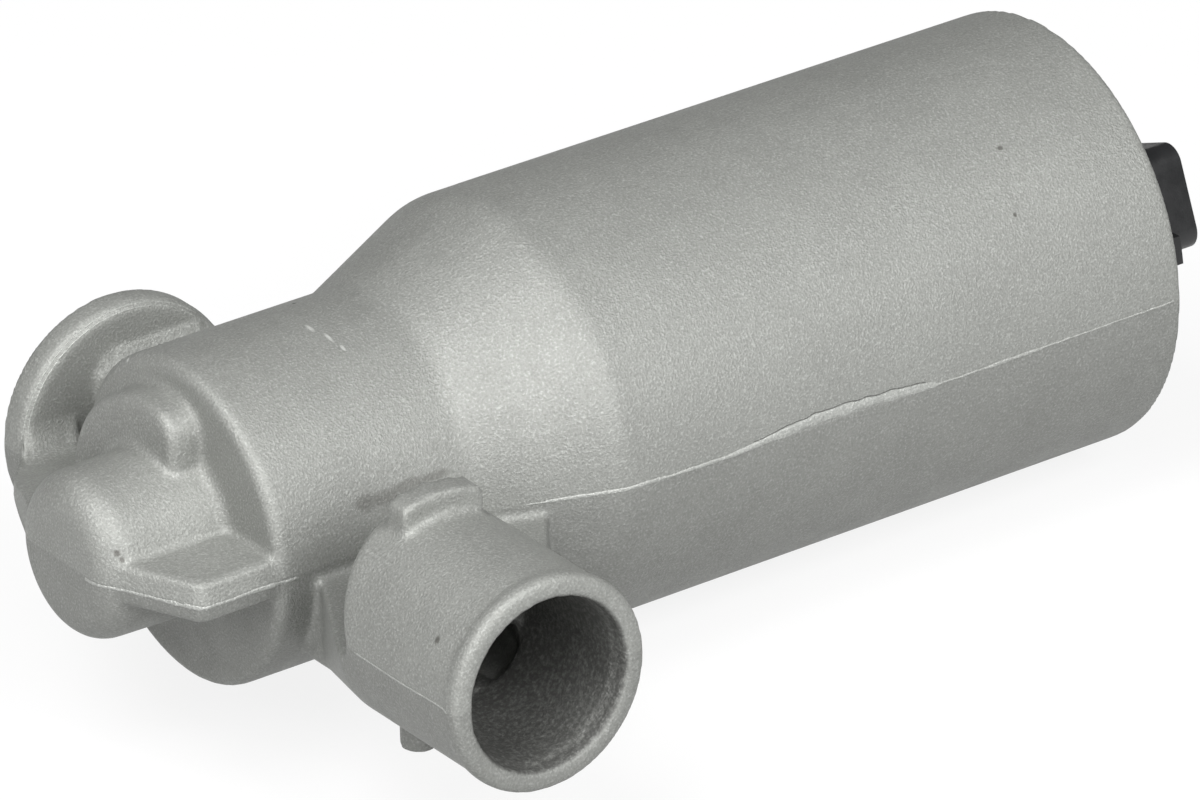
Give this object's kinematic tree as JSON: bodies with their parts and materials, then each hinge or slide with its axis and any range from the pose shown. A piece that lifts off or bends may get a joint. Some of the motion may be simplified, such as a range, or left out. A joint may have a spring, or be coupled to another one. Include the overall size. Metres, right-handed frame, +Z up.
{
  "type": "idle air control valve",
  "caption": "Rotary idle air valve: round die-cast motor housing with nose boss, a hose spigot, a second port with a wide rim and a black plug collar.",
  "frame": {"origin": "on the rotor axis, in the middle of the round motor barrel where the holding band goes", "axes": "+X along the rotor axis towards the plug, +Z up from the casting's parting plane, -Y out of the hose spigot (port 1), +Y out of the port with the wide rim (port 2)"},
  "size_m": [0.1359, 0.0787, 0.048],
  "materials": {
    "cast_aluminium": "as die-cast, matt with a fine grain",
    "machined_aluminium": "turned",
    "steel": "ground",
    "core_steel": "laminated sheet, dark",
    "spring_steel": "rolled",
    "spring_bronze": "rolled",
    "tinned_brass": "tin plated",
    "copper": "bare copper",
    "enamelled_copper": "enamelled wire",
    "ferrite": "pressed ferrite, matt",
    "carbon": "pressed graphite",
    "black_plastic": "glass-filled moulding, satin",
    "pale_plastic": "natural nylon",
    "rubber": "matt"
  },
  "bodies": {
    "valve_body": {"housing": "cast_aluminium", "partition_disc": "machined_aluminium", "shaft_seal": "rubber", "nose_bearing_outer_ring": "steel", "rear_bearing_outer_ring": "steel", "pole_tube": "steel", "magnet_upper": "ferrite", "magnet_lower": "ferrite", "magnet_clip_inlet_side": "spring_steel", "magnet_clip_outlet_side": "spring_steel", "brush_holder": "black_plastic", "brush_1": "carbon", "brush_2": "carbon", "brush_3": "carbon", "brush_spring_1": "spring_bronze", "brush_spring_2": "spring_bronze", "brush_spring_3": "spring_bronze", "terminal_1": "tinned_brass", "terminal_2": "tinned_brass", "terminal_3": "tinned_brass", "end_cover": "black_plastic", "cover_seal": "rubber", "preload_washer": "spring_steel"},
    "rotor": {"rotor_shaft": "steel", "rotary_slide": "machined_aluminium", "slide_pin": "steel", "armature_core": "core_steel", "insulator_front": "pale_plastic", "insulator_rear": "pale_plastic", "winding_open": "enamelled_copper", "winding_close": "enamelled_copper", "contact_drum": "pale_plastic", "contact_segments": "copper", "nose_bearing_inner_ring": "steel", "rear_bearing_inner_ring": "steel"},
    "nose_ball_set": {"nose_bearing_balls": "steel", "nose_bearing_cage": "pale_plastic"},
    "rear_ball_set": {"rear_bearing_balls": "steel", "rear_bearing_cage": "pale_plastic"}
  },
  "joints": [
    {"name": "rotor_turn", "type": "hinge", "parent": "valve_body", "child": "rotor", "pos_m": [0, 0, 0], "axis": [1, 0, 0], "range_deg": [-37, 18]},
    {"name": "nose_balls_roll", "type": "hinge", "parent": "valve_body", "child": "nose_ball_set", "pos_m": [0, 0, 0], "axis": [1, 0, 0], "range_deg": [-14, 7]},
    {"name": "rear_balls_roll", "type": "hinge", "parent": "valve_body", "child": "rear_ball_set", "pos_m": [0, 0, 0], "axis": [1, 0, 0], "range_deg": [-14, 7]}
  ],
  "couplings": [
    {"joint": "nose_balls_roll", "follows": "rotor_turn", "ratio": 0.36},
    {"joint": "rear_balls_roll", "follows": "rotor_turn", "ratio": 0.36}
  ]
}
